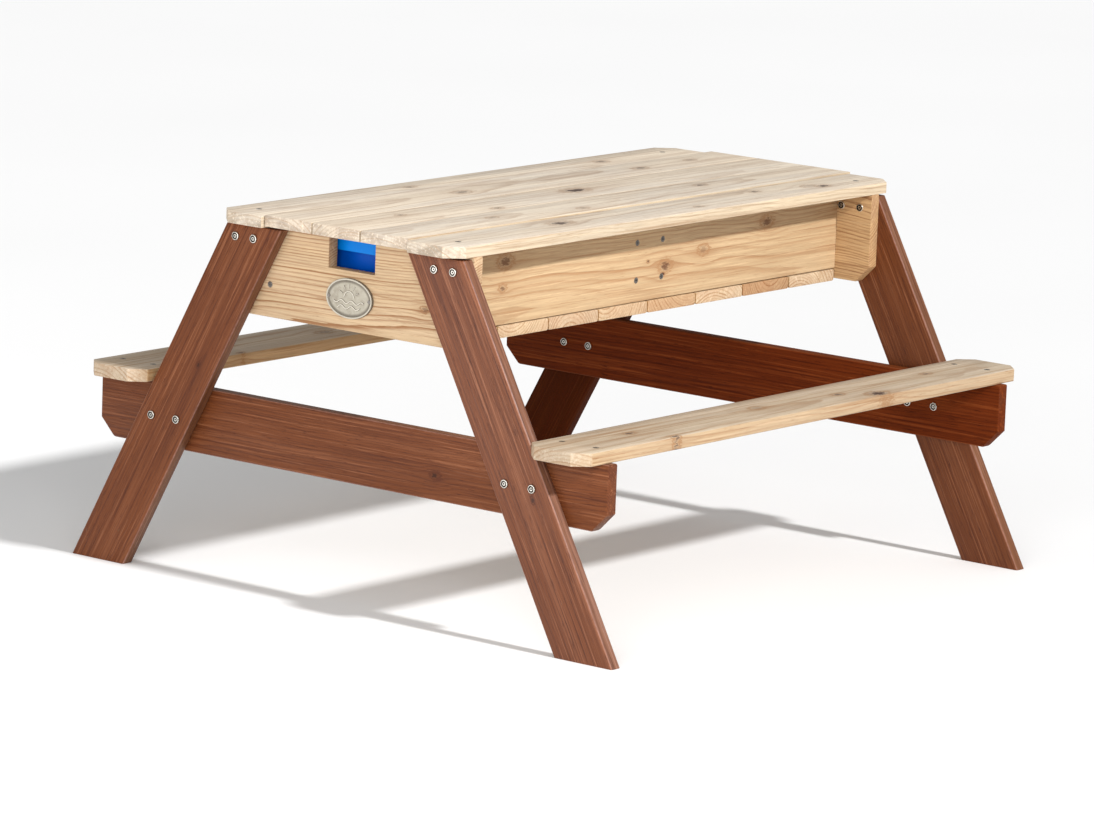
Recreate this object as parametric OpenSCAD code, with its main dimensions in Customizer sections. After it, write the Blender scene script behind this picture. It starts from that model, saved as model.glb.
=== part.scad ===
// Sand and water table for children: a small picnic bench whose table top hides two
// lift-out trays. Three of the five top boards form a loose lid, two are fixed.
// Units are millimetres. +X runs along the table, +Y across it, +Z is up.
// The origin is on the floor, under the middle of the table.
// "left" is the -X end, "front" is the -Y side.

/* [Overall] */
// Height of the lid above the floor
table_height = 500; // [415:5:600]
// Width over the toes of the legs, across the table
foot_spread = 920; // [780:10:1110]
// Distance between the outer faces of the left and right legs
leg_spacing = 900; // [700:10:1100]

/* [Table top] */
// How far the top boards reach past the legs at each end
top_overhang = 20; // [5:1:40]
// Width over all five top boards
top_width = 404; // [370:2:500]
// Thickness of a top board
top_thick = 15; // [12:1:20]
// Gap between two neighbouring top boards
board_gap = 1; // [0.5:0.5:4]
// How far the lid stands above the two fixed boards
lid_proud = 2; // [1:0.5:4]
// How far the lid lies towards the right end
lid_shift = 5; // [0:1:10]
// Corner cut off each outer corner of the fixed boards
top_clip = 22; // [8:1:36]
// Rounding along the edges of the pale boards
board_ease = 2; // [0.5:0.5:4]

/* [Lid battens] */
// Width of a batten under the lid
batten_width = 40; // [25:1:60]
// Thickness of a batten
batten_thick = 15; // [10:1:18]
// Gap between a batten's end and the inside of a tray
batten_gap = 6; // [2:1:15]

/* [Tray box] */
// Height of an end board
end_height = 122; // [100:1:150]
// Thickness of an end board
end_thick = 17; // [14:1:22]
// Corner cut off the lower corners of an end board
end_clip = 22; // [8:1:32]
// Width of the finger notch in an end board
notch_width = 78; // [60:1:110]
// Depth of the finger notch
notch_depth = 44; // [25:1:60]
// Distance from an end board's side edge to the apron's outer face
apron_inset = 57; // [40:1:64]
// Height of an apron
apron_height = 109; // [92:1:118]
// Thickness of an apron
apron_thick = 15; // [12:1:20]
// Thickness of a floor slat
slat_thick = 16; // [12:1:20]
// Gap between two floor slats
slat_gap = 1; // [0.5:0.5:6]
// Distance between the middles of the two dividers
divider_pitch = 54; // [40:1:80]
// Thickness of a divider
divider_thick = 15; // [12:1:20]
// Height of a divider
divider_height = 100; // [80:1:106]

/* [Trays] */
// Free space between a tray and the boards at its ends
tray_end_gap = 5; // [3:0.5:12]
// Free space between a tray and the fixed top boards
tray_side_gap = 2.5; // [1:0.5:6]
// Wall thickness of a tray
tray_wall = 2.5; // [1.5:0.5:4]
// How far a tray's rim stands out from its wall
rim_width = 12; // [8:1:20]
// Height of the skirt that hangs from the rim
skirt_height = 25; // [8:1:30]
// Corner radius of a tray's rim
tray_corner = 24; // [20:1:40]

/* [Legs and rails] */
// Width of a leg board
leg_width = 82; // [65:1:100]
// Thickness of a leg board
leg_thick = 18; // [14:1:24]
// Distance from an end board's side edge to the leg's top corner
leg_inset = 2.5; // [0:0.5:8]
// Gap between a leg's top and the fixed board over it
leg_gap = 3.5; // [1:0.5:10]
// Height of a bench rail
rail_height = 88; // [70:1:110]
// Thickness of a bench rail
rail_thick = 18; // [14:1:24]
// Corner cut off the lower corners of a rail
rail_clip = 24; // [10:1:36]
// How far a rail reaches past the seat
rail_overhang = 6; // [2:1:20]
// Rounding along the edges of the stained boards
leg_ease = 3; // [1:0.5:5]

/* [Seats] */
// Height of the seat above the floor
seat_height = 269; // [230:1:300]
// How far a seat reaches past the legs at each end
seat_overhang = 26; // [22:1:50]
// Width of a seat
seat_width = 98; // [80:1:140]
// Thickness of a seat
seat_thick = 17; // [14:1:22]
// Gap between a seat and the legs
seat_gap = 1; // [0.5:0.5:5]
// Corner cut off each corner of a seat
seat_clip = 20; // [8:1:26]

/* [Bolts] */
// Diameter of a bolt's head
bolt_head_d = 11; // [9:0.5:14]
// Thickness of a bolt's head
bolt_head_t = 2; // [1.5:0.5:3]
// Diameter of a bolt's shank
bolt_d = 6; // [5:0.5:7]
// Outer diameter of a sleeve nut's barrel
sleeve_d = 8; // [7.5:0.5:9]
// Length of a sleeve nut's barrel
sleeve_length = 22; // [15:1:26]
// Width across the flats of the hexagon sockets
socket_size = 4; // [3:0.5:5]
// Distance between the two bolts at a leg's top
top_bolt_pitch = 31; // [24:1:36]
// Distance from an end board's side edge to its outer bolt
top_bolt_inset = 19; // [15:1:22]
// Distance from an end board's top to its bolts
top_bolt_drop = 19.5; // [15:0.5:28]
// Distance between the two bolts at a rail
rail_bolt_pitch = 44; // [30:1:52]

/* [Screws] */
// Diameter of a wood screw's head
screw_head_d = 8; // [7:0.5:9]
// Diameter of a wood screw's shank
screw_d = 4; // [3:0.5:4.5]
// Length of a wood screw
screw_length = 35; // [28:1:42]
// Length of the short screws under the lid
lid_screw_length = 24; // [20:1:26]
// Distance from a board's edge or a batten's end to the nearest lid screw
lid_screw_inset = 12; // [10:1:20]
// Distance between the two screws at a seat's end
seat_screw_pitch = 54; // [40:1:64]
// Distance between the two screws in an apron's or a divider's end
side_screw_pitch = 50; // [30:1:56]
// Height of the lower of those two screws above the floor slats
side_screw_rise = 30; // [15:1:34]
// Distance between the two screws in a slat's end
slat_screw_pitch = 62; // [30:1:80]
// Length of a badge screw
badge_screw_length = 11; // [9:0.5:14]
// Distance from the badge's end to the middle of its screw
badge_screw_inset = 4.5; // [3.5:0.5:7]

/* [Badge] */
// Width of the oval badge
badge_width = 77; // [60:1:100]
// Height of the oval badge
badge_height = 52; // [40:1:56]
// Thickness of the badge
badge_thick = 4; // [3:0.5:6]
// Distance between the finger notch and the badge
badge_drop = 9; // [4:1:11]

/* [Hidden] */
$fn = 48;
// Slack between a fastener and its hole, on the radius
hole_slack = 0.1;
// Length that makes a cutting shape pass right through
past = 1;
// Depth of the badge's face behind its raised rim, and the rim's width
badge_recess = 1;
badge_rim = 3;
badge_screw_d = 2.5;
badge_head_d = 4.5;
badge_head_t = 1.2;
// How far a bolt's shank reaches past its leg, into the sleeve nut
bolt_reach = 10;
top_count = 5;
slat_count = 8;

lid_under = table_height - top_thick;
fixed_top = table_height - lid_proud;
frame_top = fixed_top - top_thick;
slat_top = frame_top - apron_height;
leg_top = frame_top - leg_gap;
rail_top = seat_height - seat_thick;
notch_floor = frame_top - notch_depth;

top_length = leg_spacing + 2 * top_overhang;
seat_length = leg_spacing + 2 * seat_overhang;

board_width = (top_width - (top_count - 1) * board_gap) / top_count;
board_pitch = board_width + board_gap;
half_width = top_width / 2;
lid_half = half_width - board_pitch;
bay_side = half_width - board_width;

leg_out = leg_spacing / 2;
leg_in = leg_out - leg_thick;
end_in = leg_in - end_thick;
rail_in = leg_in - rail_thick;

apron_out = half_width - apron_inset;
apron_in = apron_out - apron_thick;
apron_mid = (apron_out + apron_in) / 2;

slat_pitch = (2 * end_in - slat_gap) / slat_count;
slat_width = slat_pitch - slat_gap;

leg_top_edge = half_width - leg_inset;
leg_lean = atan((foot_spread / 2 - leg_top_edge) / leg_top);
function leg_edge(z) = foot_spread / 2 - z * tan(leg_lean);
function leg_middle(z) = leg_edge(z) - leg_width / 2 / cos(leg_lean);

seat_in = leg_edge(rail_top) + seat_gap;
seat_mid = seat_in + seat_width / 2;
rail_half = seat_in + seat_width + rail_overhang;

bay_near = divider_pitch / 2 + divider_thick / 2;
bay_mid = (bay_near + end_in) / 2;
tray_length = end_in - bay_near - 2 * tray_end_gap;
tray_width = 2 * (bay_side - tray_side_gap);
tray_height = lid_under - slat_top;
wall_corner = tray_corner - rim_width;
mouth_half = tray_width / 2 - rim_width - tray_wall;

batten_length = 2 * (mouth_half - batten_gap);
batten_under = lid_under - batten_thick;
// Distances of the lid screws from the table's middle line: two in each lid board
lid_screw_places = [
    board_width / 2 - lid_screw_inset,
    board_width / 2 + board_gap + lid_screw_inset,
    batten_length / 2 - lid_screw_inset
];

top_bolt_z = frame_top - top_bolt_drop;
rail_bolt_z = rail_top - rail_height / 2;
outer_bolt_y = half_width - top_bolt_inset;
inner_bolt_y = outer_bolt_y - top_bolt_pitch;
rail_bolt_y = leg_middle(rail_bolt_z);

side_screw_low = slat_top + side_screw_rise;
side_screw_heights = [side_screw_low, side_screw_low + side_screw_pitch];
badge_z = notch_floor - badge_drop - badge_height / 2;
badge_screw_y = badge_width / 2 - badge_screw_inset;

stain = [0.45, 0.26, 0.17];
pale_wood = [0.86, 0.76, 0.6];
warm_wood = [0.84, 0.68, 0.46];
steel = [0.72, 0.72, 0.7];
blue = [0.02, 0.28, 0.8];
cast_grey = [0.72, 0.69, 0.6];

// ---- shared shapes ----

// Rectangle with rounded corners: a board's cross-section, or a tray seen from above
module eased_section(wide, thick, ease) {
    square([wide - 2 * ease, thick], center = true);
    square([wide, thick - 2 * ease], center = true);
    for (a = [-1, 1], b = [-1, 1])
        translate([a * (wide / 2 - ease), b * (thick / 2 - ease)]) circle(ease);
}

// Board that runs along X, centred: length x width (Y) x thickness (Z)
module flat_board(length, wide, thick, ease) {
    rotate([90, 0, 90])
        linear_extrude(height = length, center = true) eased_section(wide, thick, ease);
}

// Board on edge that runs along Y, centred: thickness (X) x length (Y) x height (Z)
module cross_board(length, high, thick, ease) {
    rotate([90, 0, 0])
        linear_extrude(height = length, center = true) eased_section(thick, high, ease);
}

// Triangular prism that cuts a corner off; the corner is at the origin of the XY plane
module corner_cut(clip, depth) {
    linear_extrude(height = depth + 2 * past, center = true)
        polygon([[past, -clip - past], [past, past], [-clip - past, past]]);
}

// Both outer corners cut off a flat board, at half_length and edge
module clipped_corners(half_length, edge, clip, z, depth) {
    for (side = [0, 1]) mirror([side, 0, 0])
        translate([half_length, edge, z]) corner_cut(clip, depth);
}

// Wood screw along -Z, its flat head flush with z = 0
module wood_screw(length, grow = 0) {
    head_h = (screw_head_d - screw_d) / 2;
    tip_h = screw_d;
    translate([0, 0, -head_h])
        cylinder(h = head_h, d1 = screw_d + 2 * grow, d2 = screw_head_d + 2 * grow);
    translate([0, 0, -length + tip_h])
        cylinder(h = length - tip_h - head_h, d = screw_d + 2 * grow);
    translate([0, 0, -length - grow])
        cylinder(h = tip_h + grow, d1 = 1 + 2 * grow, d2 = screw_d + 2 * grow);
}

// The same screw with a cross recess in its head
module cross_screw(length) {
    recess = screw_head_d * 0.55;
    difference() {
        wood_screw(length);
        for (turn = [0, 90]) rotate([0, 0, turn])
            cube([recess, 1, 3], center = true);
    }
}

// Head of a bolt or a sleeve nut: a low disc with a rounded rim, standing on z = 0
module round_head() {
    rim = bolt_head_t * 0.6;
    cylinder(h = bolt_head_t - rim, d = bolt_head_d);
    translate([0, 0, bolt_head_t - rim]) cylinder(h = rim, d = bolt_head_d - 2 * rim);
    translate([0, 0, bolt_head_t - rim]) rotate_extrude()
        translate([bolt_head_d / 2 - rim, 0]) intersection() {
            circle(rim);
            square(rim);
        }
}

module hex_socket(depth) {
    cylinder(h = depth, d = socket_size / cos(30), $fn = 6);
}

// ---- legs, rails and seats ----

// Places of the four bolts of the right back leg, as [y, z]
bolt_places = [
    [inner_bolt_y, top_bolt_z], [outer_bolt_y, top_bolt_z],
    [rail_bolt_y - rail_bolt_pitch / 2, rail_bolt_z],
    [rail_bolt_y + rail_bolt_pitch / 2, rail_bolt_z]
];

// Holes for all bolts, right through whatever they are taken from
module bolt_holes() {
    reach = leg_thick + max(end_thick, rail_thick) + 2 * past;
    for (left = [0, 1], front = [0, 1], place = bolt_places)
        mirror([left, 0, 0]) mirror([0, front, 0])
            translate([leg_out + past - reach, place[0], place[1]]) rotate([0, 90, 0])
                cylinder(h = reach, d = sleeve_d + 2 * hole_slack);
}

// Leg of the right back corner: a board that leans inwards, cut level at both ends
module leg(left, front) {
    span = 3 * leg_top;
    color(stain) difference() {
        mirror([left, 0, 0]) mirror([0, front, 0]) intersection() {
            translate([leg_in + leg_thick / 2, leg_middle(0), 0]) rotate([leg_lean, 0, 0])
                linear_extrude(height = span, center = true)
                    eased_section(leg_thick, leg_width, leg_ease);
            translate([leg_in - past, 0, 0])
                cube([leg_thick + 2 * past, foot_spread, leg_top]);
        }
        bolt_holes();
    }
}

// Rail of the right end: it ties two legs and carries both seats
module rail(left) {
    color(stain) mirror([left, 0, 0]) difference() {
        translate([leg_in - rail_thick / 2, 0, rail_top - rail_height / 2])
            cross_board(2 * rail_half, rail_height, rail_thick, leg_ease);
        for (front = [0, 1]) mirror([0, front, 0])
            translate([leg_in - rail_thick / 2, rail_half, rail_top - rail_height])
                rotate([0, 90, 0]) corner_cut(rail_clip, rail_thick);
        bolt_holes();
        seat_screw_set(hole_slack);
    }
}

module seat_screw_set(grow) {
    for (left = [0, 1], front = [0, 1], way = [-1, 1])
        mirror([left, 0, 0]) mirror([0, front, 0])
            translate([leg_in - rail_thick / 2, seat_mid + way * seat_screw_pitch / 2, seat_height])
                if (grow > 0) wood_screw(screw_length, grow);
                else cross_screw(screw_length);
}

module seat(front) {
    color(pale_wood) mirror([0, front, 0]) difference() {
        translate([0, seat_mid, seat_height - seat_thick / 2])
            flat_board(seat_length, seat_width, seat_thick, board_ease);
        clipped_corners(seat_length / 2, seat_in + seat_width, seat_clip, seat_height, 3 * seat_thick);
        translate([0, 2 * seat_in, 0]) mirror([0, 1, 0])
            clipped_corners(seat_length / 2, seat_in, seat_clip, seat_height, 3 * seat_thick);
        seat_screw_set(hole_slack);
    }
}

// ---- the box under the top ----

module apron_screw_set(grow) {
    for (left = [0, 1], front = [0, 1], z = side_screw_heights)
        mirror([left, 0, 0]) mirror([0, front, 0])
            translate([leg_in, apron_mid, z]) rotate([0, 90, 0])
                if (grow > 0) wood_screw(screw_length, grow);
                else cross_screw(screw_length);
}

module divider_screw_set(grow) {
    for (left = [0, 1], front = [0, 1], z = side_screw_heights)
        mirror([left, 0, 0]) mirror([0, front, 0])
            translate([divider_pitch / 2, apron_out, z]) rotate([-90, 0, 0])
                if (grow > 0) wood_screw(screw_length, grow);
                else cross_screw(screw_length);
}

module floor_screw_set(grow) {
    for (i = [0 : slat_count - 1], way = [-1, 1], front = [0, 1])
        mirror([0, front, 0])
            translate([slat_x(i) + way * slat_screw_pitch / 2, apron_mid, slat_top - slat_thick])
                mirror([0, 0, 1])
                    if (grow > 0) wood_screw(screw_length, grow);
                    else cross_screw(screw_length);
}

module top_screw_set(grow) {
    for (left = [0, 1], front = [0, 1])
        mirror([left, 0, 0]) mirror([0, front, 0])
            translate([leg_in - end_thick / 2, (inner_bolt_y + outer_bolt_y) / 2, fixed_top])
                if (grow > 0) wood_screw(screw_length, grow);
                else cross_screw(screw_length);
}

module badge_screw_set(grow) {
    for (front = [0, 1]) mirror([0, front, 0])
        translate([-leg_in - badge_thick + badge_recess, badge_screw_y, badge_z]) rotate([0, -90, 0]) {
            translate([0, 0, -badge_screw_length])
                cylinder(h = badge_screw_length, d = badge_screw_d + 2 * grow);
            cylinder(h = badge_head_t, d = badge_head_d + 2 * grow);
        }
}

// End board: legs are bolted to its outer face, and the lid is lifted through its notch
module end_board(left) {
    color(warm_wood) difference() {
        mirror([left, 0, 0]) difference() {
            translate([leg_in - end_thick / 2, 0, frame_top - end_height / 2])
                cross_board(top_width, end_height, end_thick, board_ease);
            for (front = [0, 1]) mirror([0, front, 0])
                translate([leg_in - end_thick / 2, half_width, frame_top - end_height])
                    rotate([0, 90, 0]) corner_cut(end_clip, end_thick);
            translate([end_in - past, -notch_width / 2, notch_floor])
                cube([end_thick + 2 * past, notch_width, notch_depth + past]);
        }
        bolt_holes();
        apron_screw_set(hole_slack);
        top_screw_set(hole_slack);
        if (left) badge_screw_set(hole_slack);
    }
}

module apron(front) {
    color(warm_wood) difference() {
        mirror([0, front, 0]) translate([0, apron_mid, slat_top + apron_height / 2])
            flat_board(2 * end_in, apron_thick, apron_height, board_ease);
        apron_screw_set(hole_slack);
        divider_screw_set(hole_slack);
        floor_screw_set(hole_slack);
    }
}

function slat_x(i) = -end_in + slat_gap / 2 + slat_pitch * (i + 0.5);

module floor_slat(i) {
    color(pale_wood) difference() {
        translate([slat_x(i), 0, slat_top - slat_thick / 2]) rotate([90, 0, 0])
            linear_extrude(height = 2 * apron_out, center = true)
                eased_section(slat_width, slat_thick, board_ease);
        floor_screw_set(hole_slack);
    }
}

module divider(left) {
    color(warm_wood) difference() {
        mirror([left, 0, 0]) translate([divider_pitch / 2, 0, slat_top + divider_height / 2])
            cross_board(2 * apron_in, divider_height, divider_thick, board_ease);
        divider_screw_set(hole_slack);
    }
}

// ---- table top and lid ----

module top_board(front) {
    color(pale_wood) difference() {
        mirror([0, front, 0]) difference() {
            translate([0, half_width - board_width / 2, fixed_top - top_thick / 2])
                flat_board(top_length, board_width, top_thick, board_ease);
            clipped_corners(top_length / 2, half_width, top_clip, fixed_top, 3 * top_thick);
        }
        top_screw_set(hole_slack);
    }
}

module lid_screw_set(grow) {
    for (side = [-1, 1], back = [-1, 1], place = lid_screw_places)
        translate([side * bay_mid, back * place, batten_under])
            mirror([0, 0, 1])
                if (grow > 0) wood_screw(lid_screw_length, grow);
                else cross_screw(lid_screw_length);
}

// Lid board i, counted from the back: 1, 0 or -1
module lid_board(i) {
    color(pale_wood) difference() {
        translate([lid_shift, i * board_pitch, table_height - top_thick / 2])
            flat_board(top_length, board_width, top_thick, board_ease);
        lid_screw_set(hole_slack);
    }
}

// Batten that ties the lid boards and drops into a tray's mouth
module lid_batten(side) {
    color(warm_wood) difference() {
        translate([side * bay_mid, 0, lid_under - batten_thick / 2]) rotate([90, 0, 0])
            linear_extrude(height = batten_length, center = true)
                eased_section(batten_width, batten_thick, board_ease);
        lid_screw_set(hole_slack);
    }
}

// ---- trays ----

// Tray with a rim and a hanging skirt, standing on z = 0
module tray_shell() {
    wall_long = tray_length - 2 * rim_width;
    wall_wide = tray_width - 2 * rim_width;
    inner_long = wall_long - 2 * tray_wall;
    inner_wide = wall_wide - 2 * tray_wall;
    difference() {
        union() {
            linear_extrude(height = tray_height) eased_section(wall_long, wall_wide, wall_corner);
            translate([0, 0, tray_height - skirt_height]) linear_extrude(height = skirt_height)
                eased_section(tray_length, tray_width, tray_corner);
        }
        translate([0, 0, tray_wall]) linear_extrude(height = tray_height)
            eased_section(inner_long, inner_wide, wall_corner - tray_wall);
        translate([0, 0, tray_height - skirt_height - past])
            linear_extrude(height = skirt_height + past - tray_wall) difference() {
                eased_section(tray_length - 2 * tray_wall, tray_width - 2 * tray_wall,
                    tray_corner - tray_wall);
                eased_section(wall_long, wall_wide, wall_corner);
            }
    }
}

module tray(side) {
    color(blue) translate([side * bay_mid, 0, slat_top]) tray_shell();
}

// ---- fasteners ----

// Bolts of one end: a round head outside and a shank that reaches into its sleeve nut
module leg_bolts(left) {
    shank = leg_thick + bolt_reach;
    color(steel) for (front = [0, 1], place = bolt_places)
        mirror([left, 0, 0]) mirror([0, front, 0])
            translate([leg_out, place[0], place[1]]) rotate([0, 90, 0]) {
                difference() {
                    round_head();
                    translate([0, 0, bolt_head_t * 0.25]) hex_socket(bolt_head_t);
                }
                translate([0, 0, -shank]) cylinder(h = shank, d = bolt_d - 2 * hole_slack);
            }
}

// Sleeve nuts of one end: a round head inside and a barrel that takes the bolt
module sleeve_nuts(left) {
    color(steel) for (front = [0, 1], k = [0 : 3])
        mirror([left, 0, 0]) mirror([0, front, 0])
            translate([k < 2 ? end_in : rail_in, bolt_places[k][0], bolt_places[k][1]])
                rotate([0, 90, 0]) difference() {
                    union() {
                        mirror([0, 0, 1]) round_head();
                        cylinder(h = sleeve_length, d = sleeve_d);
                    }
                    translate([0, 0, 1]) cylinder(h = sleeve_length, d = bolt_d);
                    translate([0, 0, -bolt_head_t - past]) hex_socket(bolt_head_t * 0.75 + past);
                }
}

// ---- badge ----

// Oval outline with its long axis along X
module oval(wide, high) {
    polygon([for (a = [0 : 6 : 354]) [cos(a) * wide / 2, sin(a) * high / 2]]);
}

// Oval cast plate with a raised rim
module badge_plate() {
    color(cast_grey) difference() {
        translate([-leg_in, 0, badge_z]) rotate([90, 0, -90]) difference() {
            linear_extrude(height = badge_thick) oval(badge_width, badge_height);
            translate([0, 0, badge_thick - badge_recess]) linear_extrude(height = badge_thick)
                oval(badge_width - 2 * badge_rim, badge_height - 2 * badge_rim);
        }
        badge_screw_set(hole_slack);
    }
}

module badge_screws() {
    color(steel) badge_screw_set(0);
}

// ---- nodes ----

leg(1, 1);  // leg_left_front
leg(1, 0);  // leg_left_back
leg(0, 1);  // leg_right_front
leg(0, 0);  // leg_right_back
end_board(1);  // end_board_left
end_board(0);  // end_board_right
apron(1);  // apron_front
apron(0);  // apron_back
floor_slat(0);  // floor_slat_1
floor_slat(1);  // floor_slat_2
floor_slat(2);  // floor_slat_3
floor_slat(3);  // floor_slat_4
floor_slat(4);  // floor_slat_5
floor_slat(5);  // floor_slat_6
floor_slat(6);  // floor_slat_7
floor_slat(7);  // floor_slat_8
divider(1);  // divider_left
divider(0);  // divider_right
rail(1);  // rail_left
rail(0);  // rail_right
top_board(1);  // top_board_front
top_board(0);  // top_board_back
seat(1);  // seat_front
seat(0);  // seat_back
lid_board(1);  // lid_board_1
lid_board(0);  // lid_board_2
lid_board(-1);  // lid_board_3
lid_batten(-1);  // lid_batten_left
lid_batten(1);  // lid_batten_right
tray(-1);  // tray_left
tray(1);  // tray_right
leg_bolts(1);  // bolts_left
leg_bolts(0);  // bolts_right
sleeve_nuts(1);  // sleeve_nuts_left
sleeve_nuts(0);  // sleeve_nuts_right
color(steel) seat_screw_set(0);  // seat_screws
color(steel) top_screw_set(0);  // top_board_screws
color(steel) apron_screw_set(0);  // apron_screws
color(steel) divider_screw_set(0);  // divider_screws
color(steel) floor_screw_set(0);  // floor_screws
color(steel) lid_screw_set(0);  // lid_screws
badge_plate();
badge_screws();
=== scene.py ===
# %% [markdown]
# # A child's picnic bench with two hidden trays
# This lesson dresses a small wooden bench whose table top lifts off a box with
# two blue trays. The sizes and joints already exist as a frame of plain solids,
# so the work here is to swap each plain board for one with eased edges, sawn
# corners and real grain. Each board takes its place and size from the frame.
# Screws, knots and the badge are placed by numbers named in their own steps.

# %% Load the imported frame
import math

import bmesh
import bpy
from mathutils import Matrix, Vector


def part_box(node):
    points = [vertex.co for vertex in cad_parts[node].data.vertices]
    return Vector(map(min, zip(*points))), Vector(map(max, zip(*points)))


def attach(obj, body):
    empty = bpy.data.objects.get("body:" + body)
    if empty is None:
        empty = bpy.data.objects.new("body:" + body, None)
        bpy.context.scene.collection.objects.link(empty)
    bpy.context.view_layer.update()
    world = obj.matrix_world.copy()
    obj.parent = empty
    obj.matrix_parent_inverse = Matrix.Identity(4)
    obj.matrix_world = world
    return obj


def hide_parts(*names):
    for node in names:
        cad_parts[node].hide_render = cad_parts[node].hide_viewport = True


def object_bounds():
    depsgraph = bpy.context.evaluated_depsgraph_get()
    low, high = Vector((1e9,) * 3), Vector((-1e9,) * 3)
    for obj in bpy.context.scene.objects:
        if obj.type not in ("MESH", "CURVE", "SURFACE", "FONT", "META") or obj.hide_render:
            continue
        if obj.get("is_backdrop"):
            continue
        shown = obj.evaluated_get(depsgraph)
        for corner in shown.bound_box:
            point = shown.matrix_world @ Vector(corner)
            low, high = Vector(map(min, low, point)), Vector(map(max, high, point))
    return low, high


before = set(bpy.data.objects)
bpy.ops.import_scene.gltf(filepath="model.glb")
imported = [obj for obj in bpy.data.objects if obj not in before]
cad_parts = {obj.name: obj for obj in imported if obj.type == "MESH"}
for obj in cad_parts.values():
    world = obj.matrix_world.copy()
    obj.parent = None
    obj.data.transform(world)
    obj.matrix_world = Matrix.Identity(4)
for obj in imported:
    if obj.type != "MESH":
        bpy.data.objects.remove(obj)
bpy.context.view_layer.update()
MM = 0.001

# %% [markdown]
# ## Camera and light
# A long lens from far away keeps the boards' edges almost parallel. One hard
# lamp in front and above gives the band of shade under the top. A big soft lamp
# fills the end, and a small one gives the stained wood some sheen. The world
# adds an even haze of light, so that no side is black.

# %% Camera
CAMERA_SPOT = (-6.1953, -4.9359, 1.6826)
CAMERA_TURN = (79.433, -2.112, -50.959)
LENS = 198.31
FILM_WIDTH = 36
FARTHEST = 200

bpy.ops.object.select_all(action="DESELECT")
bpy.ops.object.camera_add(location=CAMERA_SPOT, rotation=[math.radians(a) for a in CAMERA_TURN])
camera = bpy.context.object
camera.name = "camera"
camera.data.sensor_width = FILM_WIDTH
camera.data.lens = LENS
camera.data.clip_end = FARTHEST
bpy.context.scene.camera = camera
print("camera lens", camera.data.lens, "mm")

# %% Lights and floor
KEY_FROM = Vector((0.0, -0.826, 0.563))
KEY_STRENGTH = 3.75
KEY_WIDTH = math.radians(3)
FILL_FROM = Vector((-2.6, -1.6, 1.1))
FILL_SIZE = 1.6
FILL_POWER = 44
SHEEN_FROM = Vector((-2.0, 0.6, 0.45))
SHEEN_SIZE = 1.0
SHEEN_POWER = 9
BENCH_MIDDLE = Vector((0, 0, 0.3))
HAZE = 0.46
FLOOR_SIZE = 80


def aim(towards_light):
    """Turn of a lamp whose light comes from that direction."""
    return towards_light.to_track_quat("Z", "Y").to_euler()


bpy.ops.object.light_add(type="SUN", rotation=aim(KEY_FROM))
key = bpy.context.object
key.name = "key_lamp"
key.data.energy = KEY_STRENGTH
key.data.angle = KEY_WIDTH


def soft_lamp(name, spot, size, power):
    """A square lamp that lights the bench and can't be seen itself."""
    bpy.ops.object.light_add(type="AREA", location=spot, rotation=aim(spot - BENCH_MIDDLE))
    lamp = bpy.context.object
    lamp.name = name
    lamp.data.shape = "SQUARE"
    lamp.data.size = size
    lamp.data.energy = power
    lamp.visible_camera = False
    return lamp


fill = soft_lamp("fill_lamp", FILL_FROM, FILL_SIZE, FILL_POWER)
sheen = soft_lamp("sheen_lamp", SHEEN_FROM, SHEEN_SIZE, SHEEN_POWER)

world = bpy.data.worlds.new("haze")
world.use_nodes = True
world.node_tree.nodes["Background"].inputs["Color"].default_value = (1, 1, 1, 1)
world.node_tree.nodes["Background"].inputs["Strength"].default_value = HAZE
bpy.context.scene.world = world
bpy.context.scene.view_settings.view_transform = "Standard"

bpy.ops.mesh.primitive_plane_add(size=FLOOR_SIZE)
floor = bpy.context.object
floor.name = "floor"
floor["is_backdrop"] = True
print("lights:", key.name, fill.name, sheen.name)

# %% [markdown]
# ## Shader sums in plain Python
# A material is a net of small nodes. Wiring them by hand hides the idea, so one
# small class stands for a value in the net: `a * 2 + b` then adds the Math nodes
# by itself. Colours go through Mix nodes instead, because a Math node would turn
# them grey.

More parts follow.
